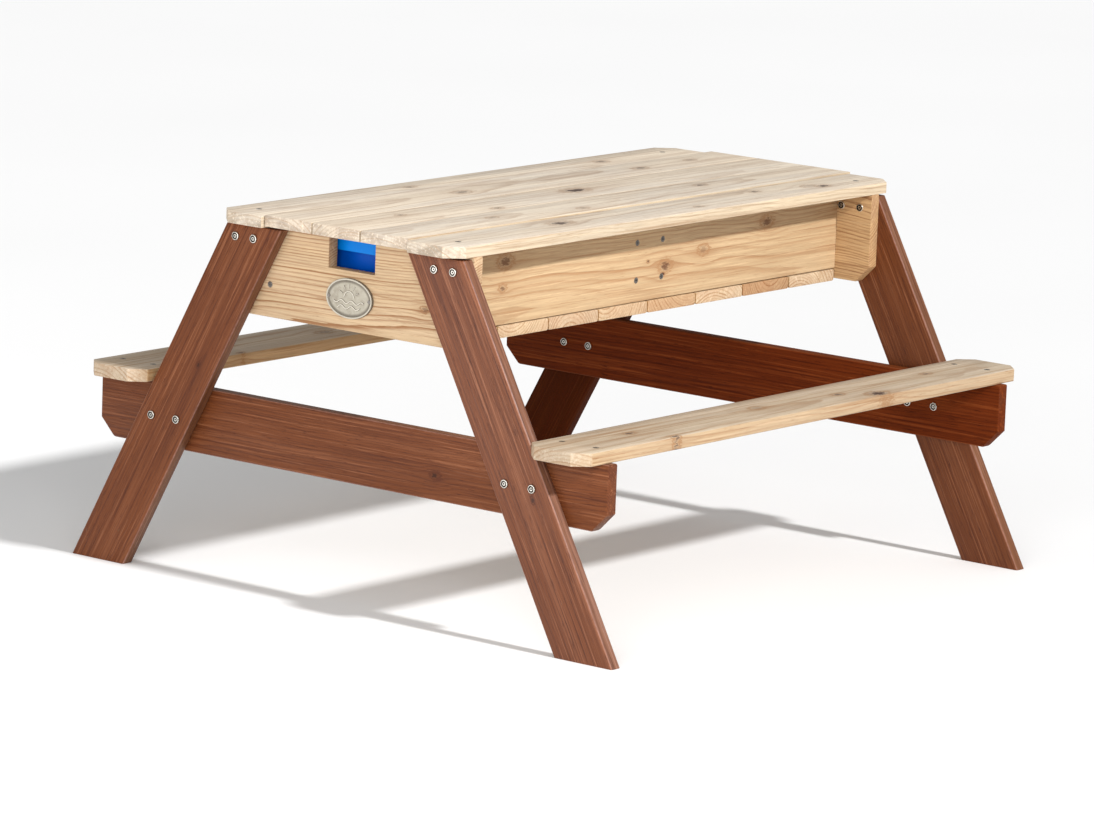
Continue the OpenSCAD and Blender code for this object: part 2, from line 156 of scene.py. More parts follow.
# %% A value in a material
class Wire:
    """One value in a material. Sums written on it become Math nodes."""

    def __init__(self, tree, socket=None):
        self.tree = tree
        self.socket = socket

    def node(self, kind, settings=None, inputs=None, output=0):
        """Adds any node: its type, its settings, then the values or links of its sockets."""
        made = self.tree.nodes.new(kind)
        for name, value in (settings or {}).items():
            setattr(made, name, value)
        for key_name, value in (inputs or {}).items():
            if isinstance(value, Wire):
                self.tree.links.new(value.socket, made.inputs[key_name])
            else:
                made.inputs[key_name].default_value = value
        return Wire(self.tree, made.outputs[output] if made.outputs else None)

    def math(self, operation, *values):
        """One Math node with the given values."""
        return self.node("ShaderNodeMath", {"operation": operation}, dict(enumerate(values)))

    def take(self, operation):
        """This value after an operation on one number, such as SQRT or FLOOR."""
        return self.math(operation, self)

    def larger(self, other):
        """The larger of two values."""
        return self.math("MAXIMUM", self, other)

    def __add__(self, other):
        return self.math("ADD", self, other)

    def __sub__(self, other):
        return self.math("SUBTRACT", self, other)

    def __rsub__(self, other):
        return self.math("SUBTRACT", other, self)

    def __mul__(self, other):
        return self.math("MULTIPLY", self, other)

    def __truediv__(self, other):
        return self.math("DIVIDE", self, other)

    def __neg__(self):
        return self.math("MULTIPLY", self, -1.0)

    __radd__ = __add__
    __rmul__ = __mul__

    def step(self, start, end):
        """Goes smoothly from 0 to 1 while the value goes from start to end."""
        sockets = {"Value": self, "From Min": start, "From Max": end}
        return self.node("ShaderNodeMapRange", {"interpolation_type": "SMOOTHSTEP"}, sockets)

    def parts(self):
        """X, Y and Z of a vector."""
        cut = self.tree.nodes.new("ShaderNodeSeparateXYZ")
        self.tree.links.new(self.socket, cut.inputs[0])
        return [Wire(self.tree, out) for out in cut.outputs]

    def blend(self, colour, amount):
        """This colour, going over to another one as amount goes from 0 to 1."""
        goal = colour if isinstance(colour, Wire) else (*colour, 1)
        return self.node("ShaderNodeMix", {"data_type": "RGBA"}, {0: amount, 6: self, 7: goal}, output=2)

    def tint(self, factor):
        """This colour, made lighter or darker by a factor."""
        return self.node("ShaderNodeVectorMath", {"operation": "SCALE"}, {0: self, "Scale": factor})

    def noise(self, sizes, seed, detail=2.0, roughness=0.5):
        """Soft noise from 0 to 1, with spots of the given sizes along the three axes."""
        scale = [1.0 / s for s in sizes]
        shifts = (seed * 7.31, seed * 3.77, seed * 5.13)
        spot = self.node("ShaderNodeMapping", None, {"Vector": self, "Location": shifts, "Scale": scale})
        sockets = {"Vector": spot, "Scale": 1.0, "Detail": detail, "Roughness": roughness}
        return self.node("ShaderNodeTexNoise", None, sockets)

    def colour(self, rgb):
        """A plain colour, to start a chain of blends."""
        plain = self.node("ShaderNodeRGB")
        plain.socket.default_value = (*rgb, 1)
        return plain

    def bump(self, strength, distance):
        """A small relief with this value as its height."""
        sockets = {"Strength": strength, "Distance": distance, "Height": self}
        return self.node("ShaderNodeBump", None, sockets)


def new_material(name):
    """An empty material and the wire to start its net with."""
    material = bpy.data.materials.new(name)
    material.use_nodes = True
    material.node_tree.nodes.clear()
    return material, Wire(material.node_tree)


def finish_material(wire, sockets):
    """Ends the net in one shader with these sockets."""
    shader = wire.node("ShaderNodeBsdfPrincipled", None, sockets)
    wire.node("ShaderNodeOutputMaterial", None, {"Surface": shader})


def place(wire, middle=(0, 0, 0), turn=(0, 0, 0)):
    """The point being coloured, in millimetres from the piece's own middle."""
    here = wire.node("ShaderNodeTexCoord", output="Object")
    sockets = {"Vector": here, "Location": middle, "Rotation": turn, "Scale": (MM, MM, MM)}
    return wire.node("ShaderNodeMapping", {"vector_type": "TEXTURE"}, sockets)


print("wire class ready")

# %% [markdown]
# ## Floor paper
# The floor is a roll of matt paper. A flat colour would look like nothing at
# all, so it has a trace of uneven tone and a fine tooth.

# %% Floor finish
floor_paper, wire = new_material("floor_paper")
at = place(wire)
cloud = at.noise((900, 900, 900), 1)
tooth = at.noise((3, 3, 3), 2)
finish_material(
    wire,
    {
        "Base Color": wire.colour((0.87, 0.87, 0.87)).blend((0.84, 0.84, 0.84), cloud),
        "Roughness": 0.8 + 0.1 * tooth,
        "Specular IOR Level": 0.2,
        "Normal": tooth.bump(0.1, 0.0003),
    },
)
floor.data.materials.append(floor_paper)
print("floor finish ready")

# %% [markdown]
# ## Wood grain that runs through the board
# A tree grows in rings round its pith. If the distance to the pith decides the
# colour, a board sawn out of that space has arches on its face, lines on its
# edge and arcs on its end, and they all meet at the corners. A picture of wood
# wrapped round a box can't do that. The rings get slow bends, each its own
# darkness, and they flow round the knots. The stain comes in four depths: the
# three darker ones are painted shade, put on the rails and the legs that stand
# in more shade.

# %% Finishes of the boards
# "end" is for sawn ends, and "side" tints the long narrow faces: partly their
# fresher colour, partly painted light and shade for how the lamps fall on them.
PALE = {
    "early": (0.67, 0.565, 0.44), "late": (0.40, 0.28, 0.19), "drift": (0.58, 0.525, 0.455),
    "streak": (0.77, 0.67, 0.53), "knot": (0.07, 0.04, 0.03), "end": (0.40, 0.32, 0.25),
    "worn_highlight": (0.70, 0.62, 0.50), "wear_highlight": 0.0, "contrast": 0.6, "pores": 0.45, "broad": 0.65,
    "fine": 0.65, "rough": 0.62, "gloss": 0.3, "coat": 0.0, "ring": 4.6, "crinkle": 1.6, "relief": 0.5,
    "side": (0.80, 0.75, 0.66),
}
SEAT = dict(PALE, early=(0.46, 0.35, 0.232), late=(0.30, 0.175, 0.09), drift=(0.40, 0.315, 0.225),
            streak=(0.54, 0.425, 0.30), end=(0.42, 0.29, 0.19), side=(0.95, 0.78, 0.55))
# The two seats differ in their side tint: painted light on the front seat's sunlit side, painted shade on
# the back seat's.
PLANK = dict(SEAT, early=(0.475, 0.382, 0.274), drift=(0.415, 0.345, 0.27), streak=(0.555, 0.46, 0.35),
             side=(0.92, 0.72, 0.48))
SUNNY_SEAT = dict(PLANK, side=(0.89, 0.78, 0.65))
GREY_END = dict(PALE, end=(0.30, 0.24, 0.18))
WARM = {
    "early": (0.525, 0.355, 0.198), "late": (0.26, 0.115, 0.044), "drift": (0.48, 0.34, 0.20),
    "streak": (0.60, 0.43, 0.255), "knot": (0.11, 0.045, 0.022), "end": (0.36, 0.215, 0.115),
    "worn_highlight": (0.60, 0.45, 0.29), "wear_highlight": 0.15, "contrast": 0.8, "pores": 0.4, "broad": 0.35,
    "fine": 0.55, "rough": 0.55, "gloss": 0.2, "coat": 0.0, "ring": 4.2, "crinkle": 1.6, "relief": 0.5,
    "side": (0.95, 0.88, 0.78),
}
APRON = dict(WARM, early=(0.455, 0.315, 0.178), contrast=0.72, late=(0.31, 0.16, 0.072), ring=5.6,
             crinkle=0.9)
NEAR_END = dict(WARM, early=(0.53, 0.382, 0.238), late=(0.27, 0.13, 0.055), ring=3.9, contrast=0.95)
# The far end board is more orange: painted warm bounce light, for its inner face in the box's shade.
FAR_END_BOUNCE_LIT = dict(NEAR_END, early=(0.53, 0.325, 0.155), drift=(0.48, 0.30, 0.145), streak=(0.58, 0.38, 0.20))
STAINED = {
    "early": (0.168, 0.050, 0.017), "late": (0.075, 0.018, 0.006), "drift": (0.130, 0.035, 0.011),
    "streak": (0.295, 0.115, 0.056), "knot": (0.02, 0.006, 0.003), "end": (0.10, 0.027, 0.010),
    "worn_highlight": (0.36, 0.165, 0.105), "wear_highlight": 0.6, "contrast": 0.5, "pores": 0.9, "broad": 0.30,
    "fine": 0.8, "rough": 0.42, "gloss": 0.28, "coat": 0.07, "ring": 3.0, "crinkle": 2.0, "relief": 0.7,
    "side": (1.0, 1.35, 2.0),
}
# The next three are darker copies of the stain: painted shade for boards in more shade.
SHADE_STAIN = dict(STAINED, early=(0.125, 0.022, 0.0035), late=(0.06, 0.009, 0.002), drift=(0.10, 0.016, 0.003),
            streak=(0.20, 0.045, 0.010), worn_highlight=(0.24, 0.075, 0.03), wear_highlight=0.3, gloss=0.04, coat=0.0,
            rough=0.55)
HALF_SHADE_STAIN = dict(STAINED, early=(0.148, 0.042, 0.012), drift=(0.115, 0.031, 0.009),
                streak=(0.25, 0.092, 0.040), gloss=0.16, coat=0.03)
FULL_SHADE_STAIN = dict(SHADE_STAIN, early=(0.055, 0.010, 0.0012), drift=(0.045, 0.008, 0.001),
               streak=(0.09, 0.02, 0.004), worn_highlight=(0.12, 0.035, 0.012), side=(1.0, 1.0, 1.0))
# Three of the four depths of stain are painted shade.
print("wood finishes: pale, seat, warm, apron, ends and four depths of stain")

# %% How a board lies in the tree
class Lay:
    """Where a board's middle is, and which way its grain, width and thickness run."""

    def __init__(self, low, high, grain, through):
        self.middle = (low + high) / 2
        self.grain = Vector(grain).normalized()
        self.through = Vector(through)
        self.across = self.through.cross(self.grain)
        size = high - low
        self.half = [abs(size.dot(way)) / 2 / MM for way in (self.across, self.through)]
        self.turn = Matrix((self.grain, self.across, self.through)).transposed().to_euler()


def faces_along(wire, way):
    """1 on the faces that look along a direction or against it, 0 on the others."""
    normal = wire.node("ShaderNodeTexCoord", output="Normal")
    sockets = {0: normal, 1: way}
    lined_up = normal.node("ShaderNodeVectorMath", {"operation": "DOT_PRODUCT"}, sockets, output="Value")
    return lined_up.take("ABSOLUTE").step(0.6, 0.85)


print("boards can be laid in the tree")

# %% Uneven things in wood
# Each has spots of some size in mm along, across and through the board, then
# a shift of the seed, the detail and the roughness of its noise.
UNEVEN = {
    "slow_bend": ((260, 300, 300), 0.0, 2.0, 0.5),
    "quick_bend": ((150, 60, 60), 0.4, 2.0, 0.5),
    "crinkle": ((55, 6, 6), 0.6, 3.0, 0.6),
    "ragged": ((8, 2.6, 2.6), 0.8, 3.0, 0.7),
    "fibre": ((42, 1.3, 1.3), 1.2, 3.0, 0.6),
    "streak": ((240, 3.2, 3.2), 1.6, 4.0, 0.65),
    "broad": ((420, 15, 15), 1.9, 3.0, 0.6),
    "drift": ((330, 46, 46), 2.0, 2.0, 0.5),
    "pore": ((24, 1.5, 1.5), 2.4, 2.0, 0.7),
    "speck": ((6, 1.6, 1.6), 2.8, 3.0, 0.7),
    "patch": ((60, 34, 20), 3.1, 2.0, 0.5),
}


def all_noises(at, seed):
    """One noise for each uneven thing in a board."""
    return {
        name: at.noise(sizes, seed + shift, detail, roughness)
        for name, (sizes, shift, detail, roughness) in UNEVEN.items()
    }


print(len(UNEVEN), "kinds of unevenness")

# %% [markdown]
# A knot is a branch that the trunk grew round. Near it the grain is pushed
# aside, round it there is a dark border, and its core is darkest. A knot is
# longer along the board, because the saw crosses the branch at a slant.

# %% Knots
KNOT_SQUASH = 0.6
KNOT_REACH = 2.6
KNOT_PUSH = 0.85
KNOT_RAGGED = 2.0


def mark_knots(wire, along, across, ragged, knots):
    """The pushed-aside grain, and masks for the knots' cores, borders and surroundings."""
    core, border, halo = (wire.math("ADD", 0.0, 0.0) for _ in range(3))
    parted = across
    for k_along, k_across, size, dark in knots:
        run = (along - k_along) * KNOT_SQUASH
        off = across - k_across
        far = (run * run + off * off).take("SQRT")
        near = far / (size * KNOT_REACH)
        pull = (-(near * near)).take("EXPONENT")
        parted = parted - pull * off * KNOT_PUSH
        far = far + ragged * (size * KNOT_RAGGED)
        core = core.larger(far.step(size * 0.85, size * 0.35) * dark)
        border = border.larger(far.step(size * 0.7, size * 1.0) * far.step(size * 1.5, size * 1.1))
        halo = halo.larger(pull)
    return parted, core, border, halo


print("knots ready")

# %% [markdown]
# Each ring is pale early wood that darkens slowly into late wood and then stops
# at a sharp line. The part of a ring that a point lies in comes from its
# distance to the pith, and a random number for each ring makes some darker.

# %% Year rings
PITH_BEND = (22, 5)
PITH_SLANT = 0.016
RING_WAVE = (0.13, 0.45)


def late_wood(finish, noises, parted, along, through, pith, seed, sawn):
    """How much of the dark late wood there is at a point."""
    slow = noises["slow_bend"] - 0.5
    quick = noises["quick_bend"] - 0.5
    crinkle = (noises["crinkle"] - 0.5) * (1.0 - 0.8 * sawn)
    side = parted - pith[0] + slow * PITH_BEND[0]
    deep = through - pith[1] + quick * PITH_BEND[1]
    radius = (side * side + deep * deep).take("SQRT")
    radius = radius + along * PITH_SLANT + quick * 3 + crinkle * finish["crinkle"]
    wave = (radius * RING_WAVE[0]).take("SINE")
    phase = radius / finish["ring"] + wave * RING_WAVE[1]
    part = phase.take("FRACT")
    count = {"W": phase.take("FLOOR") + seed}
    own = phase.node("ShaderNodeTexWhiteNoise", {"noise_dimensions": "1D"}, count)
    return part.step(0.45, 0.92) * part.step(1.0, 0.94) * (0.25 + own * 0.95)


print("year rings ready")

# %% [markdown]
# The colour is laid on like washes: first the broad drifts of tone, then the
# sawn ends, the late wood, the fine streaks and the pores. Sawn ends drink more
# dirt than faces do, so they are darker.

# %% Colour of sound wood
def wood_colour(wire, finish, noises, late, pore, sawn):
    """The board's colour before the paler edges, the side tint and the knots."""
    broad, streak, fine = noises["broad"], noises["streak"], finish["fine"]
    colour = wire.colour(finish["early"])
    colour = colour.blend(finish["drift"], noises["drift"].step(0.38, 0.65) * 0.6)
    colour = colour.blend(finish["streak"], broad.step(0.5, 0.68) * finish["broad"])
    colour = colour.blend(finish["late"], broad.step(0.47, 0.3) * finish["broad"] * 0.7)
    colour = colour.blend(finish["end"], sawn * (0.2 + 0.6 * noises["patch"].step(0.4, 0.6)))
    colour = colour.blend(finish["late"], late * (finish["contrast"] + 0.25 * sawn))
    colour = colour.blend(finish["streak"], streak.step(0.54, 0.66) * fine)
    dark = (streak.step(0.46, 0.34) * fine + pore * finish["pores"]) * (1.0 - 0.7 * sawn)
    colour = colour.blend(finish["late"], dark)
    colour = colour.tint(0.80 + noises["fibre"] * 0.40)
    return colour.tint(1.0 - 0.25 * sawn * noises["speck"].step(0.58, 0.7))

# %% Paler long edges: partly wear, partly a painted highlight
EDGE_BAND = (3.6, 1.4)
EDGE_BAND_RAGGED = 2.4


def worn_highlit_edges(lay, across, through, speck):
    """1 along the board's long edges, where the colour is paler: partly wear, partly a painted highlight.
    """
    from_side = lay.half[0] - across.take("ABSOLUTE")
    from_face = lay.half[1] - through.take("ABSOLUTE")
    return (from_side.larger(from_face) + speck * EDGE_BAND_RAGGED).step(*EDGE_BAND)


print("colour and wear ready")

# %% The whole board
def wood(name, finish, lay, pith, seed, knots=()):
    """A board's material. pith = (across, through) in mm; knots = (along, across, radius, dark)."""
    material, wire = new_material(name)
    at = place(wire, lay.middle, lay.turn)
    along, across, through = at.parts()
    noises = all_noises(at, seed)
    fibre, speck = noises["fibre"], noises["speck"]
    pore = noises["pore"].step(0.58, 0.72)
    sawn = faces_along(wire, lay.grain)
    sideways = faces_along(wire, lay.across)

    parted, core, border, halo = mark_knots(wire, along, across, noises["ragged"] - 0.5, knots)
    late = late_wood(finish, noises, parted, along, through, pith, seed, sawn)
    colour = wood_colour(wire, finish, noises, late, pore, sawn)
    # Paler long edges: partly wear, partly a painted highlight.
    colour = colour.blend(finish["worn_highlight"], worn_highlit_edges(lay, across, through, speck) * finish["wear_highlight"])
    colour = colour.blend(finish["late"], halo * 0.25 + border * 0.6)
    # The narrow sides get their tint: partly a fresher colour, partly painted light and shade.
    factors = {0: colour, 1: finish["side"]}
    side_tone_and_painted_light = wire.node("ShaderNodeVectorMath", {"operation": "MULTIPLY"}, factors)
    colour = colour.blend(side_tone_and_painted_light, sideways)
    colour = colour.blend(finish["knot"], core)

    height = fibre * 0.5 - late * 0.6 - pore * 0.5 - core * 0.4 - sawn * speck
    finish_material(
        wire,
        {
            "Base Color": colour,
            "Roughness": finish["rough"] + 0.16 * fibre - 0.08 * late + 0.1 * sawn,
            "Specular IOR Level": finish["gloss"],
            "Coat Weight": finish["coat"] * (1.2 - fibre),
            "Coat Roughness": 0.3,
            "Normal": height.bump(finish["relief"], 0.0005),
        },
    )
    return material


print("grain recipe ready")

# %% [markdown]
# ## Working a board by hand
# Each board starts as a block, but it never stays one. A router eases the long
# edges, a saw takes the corners off, sandpaper breaks the sawn edges, and a
# countersink makes room for the screw heads. The order is the workshop's: the
# edges are eased on the long board, before the corners are sawn.

# %% Start a block and pick parts of it
PARALLEL = 0.995
SHARP = math.radians(40)


def clear_selection():
    """Leaves edit mode and selects nothing."""
    if bpy.context.mode != "OBJECT":
        bpy.ops.object.mode_set(mode="OBJECT")
    bpy.ops.object.select_all(action="DESELECT")


def block(name, low, high):
    """A block between two corners, its place kept in the mesh."""
    clear_selection()
    middle = (low + high) / 2
    bpy.ops.mesh.primitive_cube_add(size=1, location=middle)
    piece = bpy.context.object
    piece.name = name
    bpy.ops.transform.resize(value=high - low)
    bpy.ops.object.transform_apply(location=True, rotation=True, scale=True)
    return piece


def pick(piece, kind, test):
    """In edit mode, selects only the faces, edges or vertices that pass a test."""
    bpy.context.view_layer.objects.active = piece
    if bpy.context.mode != "EDIT_MESH":
        bpy.ops.object.mode_set(mode="EDIT")
    bpy.ops.mesh.select_mode(type=kind)
    bpy.ops.mesh.select_all(action="DESELECT")
    net = bmesh.from_edit_mesh(piece.data)
    parts = {"FACE": net.faces, "EDGE": net.edges, "VERT": net.verts}[kind]
    for part in [part for part in parts if test(part)]:
        part.select_set(True)
    net.select_flush_mode()
    bmesh.update_edit_mesh(piece.data)


def runs_along(way):
    """Test for edges that run along a direction."""
    way = Vector(way).normalized()

    def test(edge):
        line = edge.verts[1].co - edge.verts[0].co
        return line.length > 0 and abs(line.normalized().dot(way)) > PARALLEL

    return test


def is_sharp(edge):
    """Test for edges whose two faces meet at a clear angle."""
    return len(edge.link_faces) == 2 and edge.calc_face_angle(0) > SHARP


print("blocks and picking ready")

# %% Router, saw and sandpaper
def ease_edges(piece, way, radius, segments=4):
    """Rounds the edges that run along the grain."""
    pick(piece, "EDGE", runs_along(way))
    bpy.ops.mesh.bevel(offset=radius, segments=segments, affect="EDGES", profile=0.5)


def saw(piece, point, outward):
    """Saws off whatever lies beyond a plane, and leaves a clean face."""
    pick(piece, "FACE", lambda face: True)
    bpy.ops.mesh.bisect(plane_co=point, plane_no=outward, use_fill=True, clear_outer=True)


def break_edges(piece, size=0.7 * MM):
    """Takes the sharpness off the sawn edges."""
    pick(piece, "EDGE", is_sharp)
    bpy.ops.mesh.bevel(offset=size, segments=2, affect="EDGES", profile=0.5)
    bpy.ops.object.mode_set(mode="OBJECT")


print("router, saw and sandpaper ready")

# %% Drill
COUNTERSINK = {"radius1": 2.2 * MM, "radius2": 5.2 * MM, "depth": 3.0 * MM}
COUNTERSINK_IN = 0.7 * MM
COUNTERBORE = {"radius": 6.4 * MM, "depth": 1.6 * MM}
HOLE_SIDES = 28


def cut_with(piece, tool):
    """Takes a tool's shape out of a piece and throws the tool away."""
    clear_selection()
    bpy.context.view_layer.objects.active = piece
    piece.select_set(True)
    hole = piece.modifiers.new("hole", "BOOLEAN")
    hole.operation = "DIFFERENCE"
    hole.solver = "EXACT"
    hole.object = tool
    bpy.ops.object.modifier_apply(modifier="hole")
    bpy.data.objects.remove(tool, do_unlink=True)


def join(name, parts):
    """Several pieces as one."""
    clear_selection()
    for part in parts:
        part.select_set(True)
    bpy.context.view_layer.objects.active = parts[0]
    if len(parts) > 1:
        bpy.ops.object.join()
    parts[0].name = name
    return parts[0]


def countersinks(places, outward):
    """One tool for a row of countersunk holes that open in a direction."""
    outward = Vector(outward)
    turn = outward.to_track_quat("Z", "Y").to_euler()
    tools = []
    for spot in places:
        clear_selection()
        middle = Vector(spot) * MM - outward * COUNTERSINK_IN
        bpy.ops.mesh.primitive_cone_add(vertices=HOLE_SIDES, location=middle, rotation=turn, **COUNTERSINK)
        tools.append(bpy.context.object)
    return join("countersink", tools)


def counterbores(places, outward):
    """One tool for the shallow round seats of the bolt heads."""
    turn = Vector(outward).to_track_quat("Z", "Y").to_euler()
    tools = []
    for spot in places:
        clear_selection()
        middle = Vector(spot) * MM
        bpy.ops.mesh.primitive_cylinder_add(
            vertices=HOLE_SIDES, location=middle, rotation=turn, **COUNTERBORE
        )
        tools.append(bpy.context.object)
    return join("counterbore", tools)


print("drill ready")

# %% Put a finished piece in the object
def smooth(piece, degrees=32):
    """Shades a piece smooth, except where its faces meet at more than an angle."""
    clear_selection()
    piece.select_set(True)
    bpy.context.view_layer.objects.active = piece
    bpy.ops.object.shade_smooth_by_angle(angle=math.radians(degrees))


def fit(piece, material, body, slot, *nodes):
    """Gives a piece its finish, lets it move with a body, and retires the plain solids."""
    if material:
        piece.data.materials.clear()
        piece.data.materials.append(material)
    smooth(piece)
    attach(piece, body)
    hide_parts(*nodes)
    print(piece.name, "on", body, len(piece.data.polygons), "faces")


print("pieces can be fitted")

# %% One board, start to finish
X, Y, Z = Vector((1, 0, 0)), Vector((0, 1, 0)), Vector((0, 0, 1))
SIDES = (-1, 1)


def board(
    node, grain, through, finish, ease, pith, seed, knots=(), clips=(), holes=(), notch=None, gap=None
):
    """Makes one straight board from its CAD box; clips are (corner, outward) planes in mm."""
    low, high = (Vector(c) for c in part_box(node))
    if gap:
        low = low + Vector(gap[0]) * MM
        high = high - Vector(gap[1]) * MM
    piece = block("wood_" + node, low, high)
    ease_edges(piece, grain, ease * MM)
    for corner, outward in clips:
        saw(piece, Vector(corner) * MM, outward)
    if notch:
        bpy.ops.object.mode_set(mode="OBJECT")
        cut_with(piece, block("notch", *notch))
    break_edges(piece)
    for places, outward in holes:
        cut_with(piece, countersinks(places, outward))
    return piece, wood("grain_" + node, finish, Lay(low, high, grain, through), pith, seed, knots)


print("boards ready")

# %% [markdown]
# ## Table top
# The five top boards are pale, dry wood, as if they had stood outside for a
# while, so the grain is soft and slightly grey. The outer two are fixed and have
# sawn corners. The middle three make up the lid, so they ride on the lid's body.

# %% The two fixed boards
TOP_CLIP = 22
DRY_GAP = 0.4
TOP_SCREW = (423.5, 167.5, 498)
TOP_EASE = 0.6
TOP_KNOTS = {
    "top_board_front": [
        (-200, 10, 12, 0.9), (228, 20, 6, 0.8), (60, -14, 5, 0.5), (330, 5, 8, 0.3), (348, -6, 8, 1.0),
    ],
    "top_board_back": [(278, 0, 8, 0.7), (-120, 8, 6, 0.6)],
}
for side, node, pith in ((-1, "top_board_front", (34, -62)), (1, "top_board_back", (-22, -85))):
    low, high = (Vector(c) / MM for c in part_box(node))
    outer = max(abs(low.y), abs(high.y)) * side
    clips = [((end * high.x, outer - side * TOP_CLIP, 0), (end, side, 0)) for end in SIDES]
    holes = [([(end * TOP_SCREW[0], side * TOP_SCREW[1], TOP_SCREW[2]) for end in SIDES], Z)]
    dry_gap = ((0, 0, 0), (0, DRY_GAP, 0)) if side < 0 else ((0, DRY_GAP, 0), (0, 0, 0))
    piece, material = board(
        node, X, Z, GREY_END, TOP_EASE, pith, 11 + side, TOP_KNOTS[node], clips, holes, gap=dry_gap
    )
    fit(piece, material, "table_frame", "pale_wood", node)

# %% The three loose boards and their battens
LID_LOOKS = {
    "lid_board_1": ((18, -70), 21, [(-112, 9, 10, 0.6), (258, 0, 8, 0.7), (377, 6, 6, 0.5)]),
    "lid_board_2": ((-30, -54), 33, [(24, 6, 14, 1.0), (-182, -28, 6, 0.7), (-330, 12, 5, 0.6)]),
    "lid_board_3": ((6, -95), 47, [(200, 13, 7, 0.7), (-90, -16, 6, 0.5), (-250, 6, 6, 0.4)]),
}
for node, (pith, seed, knots) in LID_LOOKS.items():
    dry_gap = ((0, DRY_GAP, 0), (0, DRY_GAP, 0))
    piece, material = board(node, X, Z, PALE, TOP_EASE, pith, seed, knots, gap=dry_gap)
    fit(piece, material, "lid", "pale_wood", node)

TRAY_MIDDLE = 224.75
BATTEN_LOW = 470
LID_SCREW_ROWS = (-87, -53, -28, 28, 53, 87)
for side, node in ((-1, "lid_batten_left"), (1, "lid_batten_right")):
    holes = [([(side * TRAY_MIDDLE, y, BATTEN_LOW) for y in LID_SCREW_ROWS], -Z)]
    piece, material = board(node, Y, Z, WARM, 2, (15, -40), 61 + side, holes=holes)
    fit(piece, material, "lid", "warm_wood", node)

# %% [markdown]
# ## The box under the top
# Two aprons, two end boards, eight floor slats and two dividers make a box. Its
# wood is yellower than the top's and its dark lines are clearer, like wood that
# was kept under cover. The end boards have sawn lower corners and a notch for
# the fingers. The end grain of the slats shows below the apron, so each slat
# has a tone and a pith of its own.

# %% End boards
SCREW_HEIGHTS = (404, 454)
END_SCREW = (432, 137.5)
END_CLIP = 22
NOTCH_HALF = 0.039
NOTCH_LOW = 0.439
TABLE_HEIGHT = 0.5
for side, node, finish, pith, seed in (
    (-1, "end_board_left", NEAR_END, (-58, 34), 5),
    (1, "end_board_right", FAR_END_BOUNCE_LIT, (66, -42), 8),
):
    low, high = (Vector(c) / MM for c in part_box(node))
    clips = [((0, way * high.y, low.z + END_CLIP), (0, way, -1)) for way in SIDES]
    notch = (
        Vector(((low.x - 5) * MM, -NOTCH_HALF, NOTCH_LOW)),
        Vector(((high.x + 5) * MM, NOTCH_HALF, TABLE_HEIGHT)),
    )
    spots = [(side * END_SCREW[0], way * END_SCREW[1], z) for way in SIDES for z in SCREW_HEIGHTS]
    holes = [(spots, (side, 0, 0))]
    piece, material = board(
        node, Y, X, finish, 2, pith, seed, [(-124, -16, 4, 0.6)], clips, holes, notch
    )
    fit(piece, material, "table_frame", "warm_wood", node)

# %% Aprons and dividers
APRON_FACE = 145
DIVIDER_MIDDLE = 27
APRON_LOWERED = ((0, 0, 0.9), (0, 0, 0))
APRON_KNOTS = [
    (-3, 2, 2.2, 1.0), (34, 12, 8, 0.9), (30, 22, 2.8, 1.0), (116, -2, 7, 0.4),
    (-300, -28, 9, 0.8), (-304, 6, 4.5, 0.75), (255, -26, 8, 0.8),
]
for side, node, seed, knots in (
    (-1, "apron_front", 14, APRON_KNOTS),
    (1, "apron_back", 17, [(150, 10, 7, 0.7), (-210, -18, 5, 0.6)]),
):
    spots = [(way * DIVIDER_MIDDLE, side * APRON_FACE, z) for way in SIDES for z in SCREW_HEIGHTS]
    holes = [(spots, (0, side, 0))]
    piece, material = board(
        node, X, Y, APRON, 2, (44, side * -46), seed, knots, holes=holes, gap=APRON_LOWERED
    )
    fit(piece, material, "table_frame", "warm_wood", node)

for side, node in ((-1, "divider_left"), (1, "divider_right")):
    piece, material = board(node, Y, X, WARM, 2, (20, 60), 71 + side)
    fit(piece, material, "table_frame", "warm_wood", node)

# %% Floor slats
SLAT_SCREW = (31, 137.5, 358)
SLAT_GAP = ((0.5, 0, 0), (0.5, 0, 0))
SLAT_TONES = [
    (1.20, 1.18, 1.12), (1.15, 1.12, 1.05), (1.05, 1.0, 0.95), (1.12, 1.08, 1.0),
    (1.0, 0.88, 0.74), (1.12, 1.1, 1.05), (0.88, 0.70, 0.54), (1.08, 1.08, 1.05),
]
SLAT_PITHS = [(-20, -34), (25, 38), (4, -26), (38, 30), (-34, 44), (14, -60), (-10, 24), (30, -40)]
for index, (pith, tone) in enumerate(zip(SLAT_PITHS, SLAT_TONES)):
    node = "floor_slat_%d" % (index + 1)
    low, high = (Vector(c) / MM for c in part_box(node))
    middle = (low.x + high.x) / 2
    reach, row, level = SLAT_SCREW
    holes = [([(middle + way * reach, end * row, level) for way in SIDES for end in SIDES], -Z)]
    shade = dict(SEAT, contrast=0.85)
    for part in ("early", "late", "drift", "streak", "end"):
        shade[part] = tuple(base * factor for base, factor in zip(SEAT[part], tone))
    piece, material = board(node, Y, Z, shade, 3, pith, 80 + 3 * index, holes=holes, gap=SLAT_GAP)
    fit(piece, material, "table_frame", "pale_wood", node)

# %% [markdown]
# ## Seats
# A seat is one plain plank with its four corners sawn off, screwed to the rails
# from above. Two screws side by side at each end keep it from cupping.

